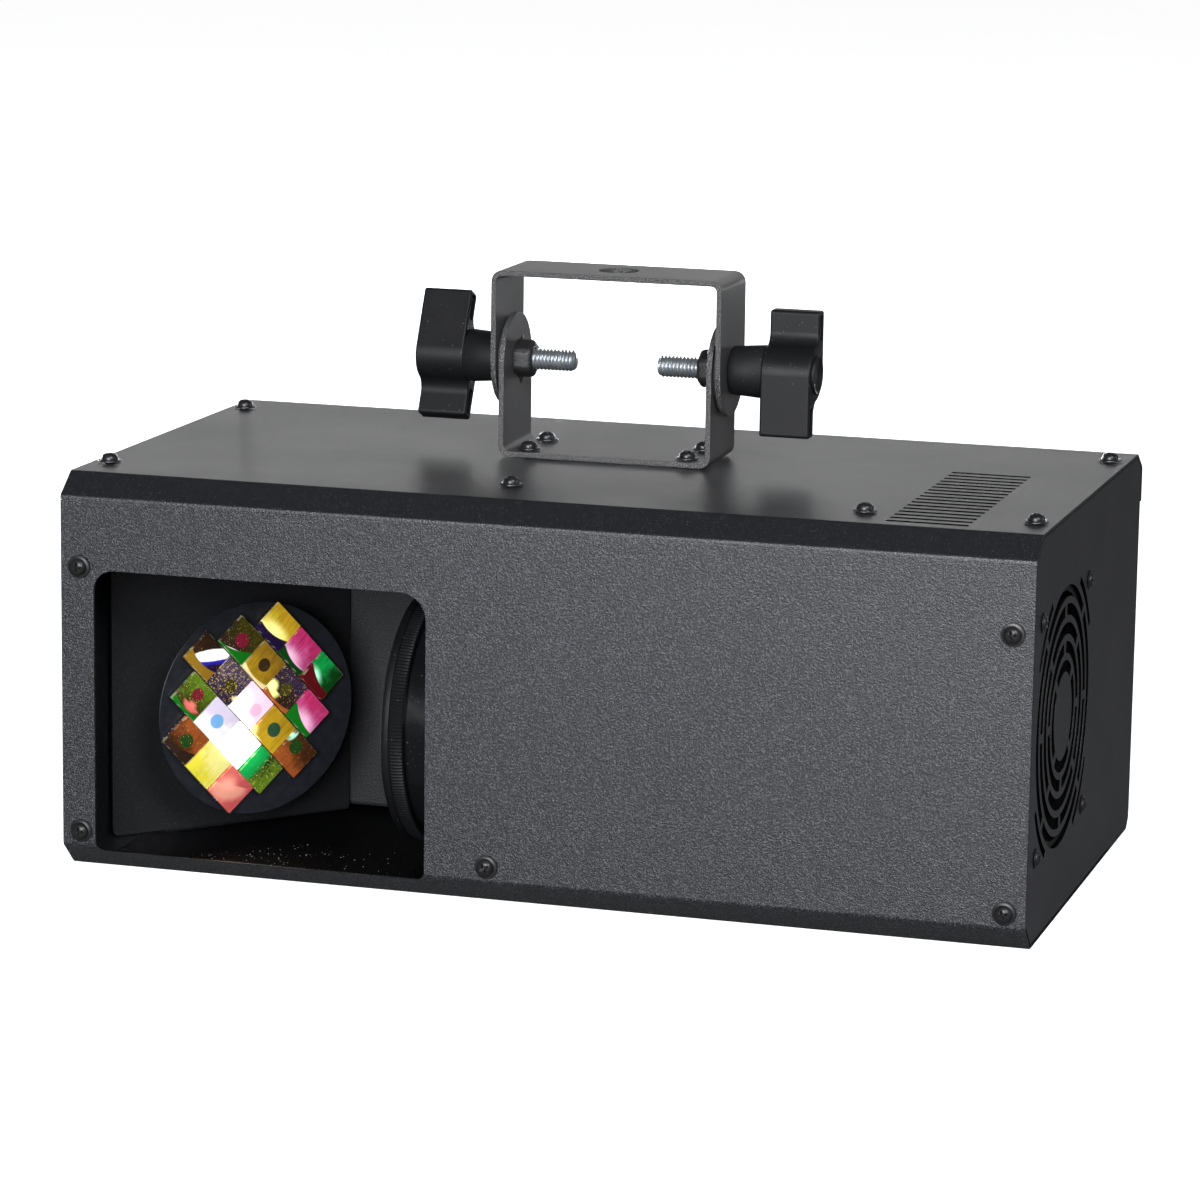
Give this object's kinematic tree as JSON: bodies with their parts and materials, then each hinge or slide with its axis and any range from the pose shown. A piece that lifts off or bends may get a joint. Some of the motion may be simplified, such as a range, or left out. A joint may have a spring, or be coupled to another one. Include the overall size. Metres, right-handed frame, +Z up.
{
  "type": "led effect light",
  "caption": "Boxy sheet-metal LED effect light: slanted disc of mirror tiles in an open window, facing a ribbed lens, with a tilting hanging bracket and wing knobs.",
  "frame": {"origin": "middle of the housing's flat base, on its underside", "axes": "+X to the right as seen from the front, with the fan grille; -Y out of the front, with the light window; +Z up"},
  "size_m": [0.3565, 0.2042, 0.214],
  "materials": {
    "shell_paint": "satin fine-texture charcoal powder coat",
    "chamber_paint": "matt black paint",
    "bracket_paint": "matt charcoal powder coat",
    "black_plastic": "satin moulded black",
    "black_steel": "black oxide, glossy",
    "dark_nickel": "dark nickel plate",
    "zinc": "bright zinc plate",
    "aluminium": "satin",
    "mirror": "dichroic mirror, many colours",
    "glass": "clear polished",
    "board_green": "solder mask green",
    "fibre": "pressed fibre, matt black"
  },
  "bodies": {
    "housing": {"base_shell": "shell_paint", "top_cover": "shell_paint", "left_side_panel": "shell_paint", "right_side_panel": "shell_paint", "rear_panel": "shell_paint", "chamber_back_wall": "chamber_paint", "lens_wall": "chamber_paint", "heatsink_wall": "chamber_paint", "motor_plate": "chamber_paint", "disc_motor": "black_steel", "lens_barrel": "black_plastic", "lens_glass": "glass", "led_heatsink": "aluminium", "led_module": "aluminium", "fan_frame": "black_plastic", "power_supply": "aluminium", "control_board": "board_green", "display_window": "glass", "power_inlet": "black_plastic", "fuse_holder": "black_plastic", "dmx_in": "black_plastic", "dmx_out": "black_plastic", "lower_bracket": "bracket_paint", "left_friction_washer": "fibre", "left_weld_nut": "bracket_paint", "right_friction_washer": "fibre", "right_weld_nut": "bracket_paint", "front_screw_1": "dark_nickel", "front_screw_2": "dark_nickel", "front_screw_3": "dark_nickel", "front_screw_4": "dark_nickel", "front_screw_5": "dark_nickel", "top_screw_1": "black_steel", "top_screw_2": "black_steel", "top_screw_3": "black_steel", "top_screw_4": "black_steel", "top_screw_5": "black_steel", "top_screw_6": "black_steel", "bracket_screw_1": "black_steel", "bracket_screw_2": "black_steel", "bracket_screw_3": "black_steel", "bracket_screw_4": "black_steel", "fan_screw_1": "black_steel", "fan_screw_2": "black_steel", "fan_screw_3": "black_steel", "fan_screw_4": "black_steel"},
    "hanging_bracket": {"hanging_bracket": "bracket_paint"},
    "left_knob": {"left_knob": "black_plastic", "left_stud": "zinc"},
    "right_knob": {"right_knob": "black_plastic", "right_stud": "zinc"},
    "disc": {"effect_disc": "chamber_paint", "tile_mosaic": "mirror", "motor_shaft": "zinc"},
    "fan": {"fan_rotor": "black_plastic"},
    "focus_ring": {"lens_ring": "black_plastic"},
    "button_1": {"menu_button_1": "black_plastic"},
    "button_2": {"menu_button_2": "black_plastic"},
    "button_3": {"menu_button_3": "black_plastic"},
    "button_4": {"menu_button_4": "black_plastic"}
  },
  "joints": [
    {"name": "hanging_bracket_tilt", "type": "hinge", "parent": "housing", "child": "hanging_bracket", "pos_m": [-0.003, 0.012, 0.1797], "axis": [1, 0, 0], "range_deg": [-120, 120]},
    {"name": "left_knob_turn", "type": "hinge", "parent": "housing", "child": "left_knob", "pos_m": [-0.047, 0.012, 0.1797], "axis": [-1, 0, 0], "range_deg": [0, 270]},
    {"name": "right_knob_turn", "type": "hinge", "parent": "housing", "child": "right_knob", "pos_m": [0.041, 0.012, 0.1797], "axis": [1, 0, 0], "range_deg": [0, 270]},
    {"name": "disc_spin", "type": "hinge", "parent": "housing", "child": "disc", "pos_m": [-0.1256, -0.0378, 0.0508], "axis": [0.749, -0.6626, 0], "continuous": true},
    {"name": "fan_spin", "type": "hinge", "parent": "housing", "child": "fan", "pos_m": [0.1635, -0.0425, 0.0725], "axis": [1, 0, 0], "continuous": true},
    {"name": "lens_ring_turn", "type": "hinge", "parent": "housing", "child": "focus_ring", "pos_m": [-0.0615, -0.0378, 0.054], "axis": [-1, 0, 0], "range_deg": [0, 180]},
    {"name": "button_1_press", "type": "slide", "parent": "housing", "child": "button_1", "axis": [0, -1, 0], "range_m": [0, 0.0008], "stiffness_N_per_m": 250},
    {"name": "button_2_press", "type": "slide", "parent": "housing", "child": "button_2", "axis": [0, -1, 0], "range_m": [0, 0.0008], "stiffness_N_per_m": 250},
    {"name": "button_3_press", "type": "slide", "parent": "housing", "child": "button_3", "axis": [0, -1, 0], "range_m": [0, 0.0008], "stiffness_N_per_m": 250},
    {"name": "button_4_press", "type": "slide", "parent": "housing", "child": "button_4", "axis": [0, -1, 0], "range_m": [0, 0.0008], "stiffness_N_per_m": 250}
  ]
}
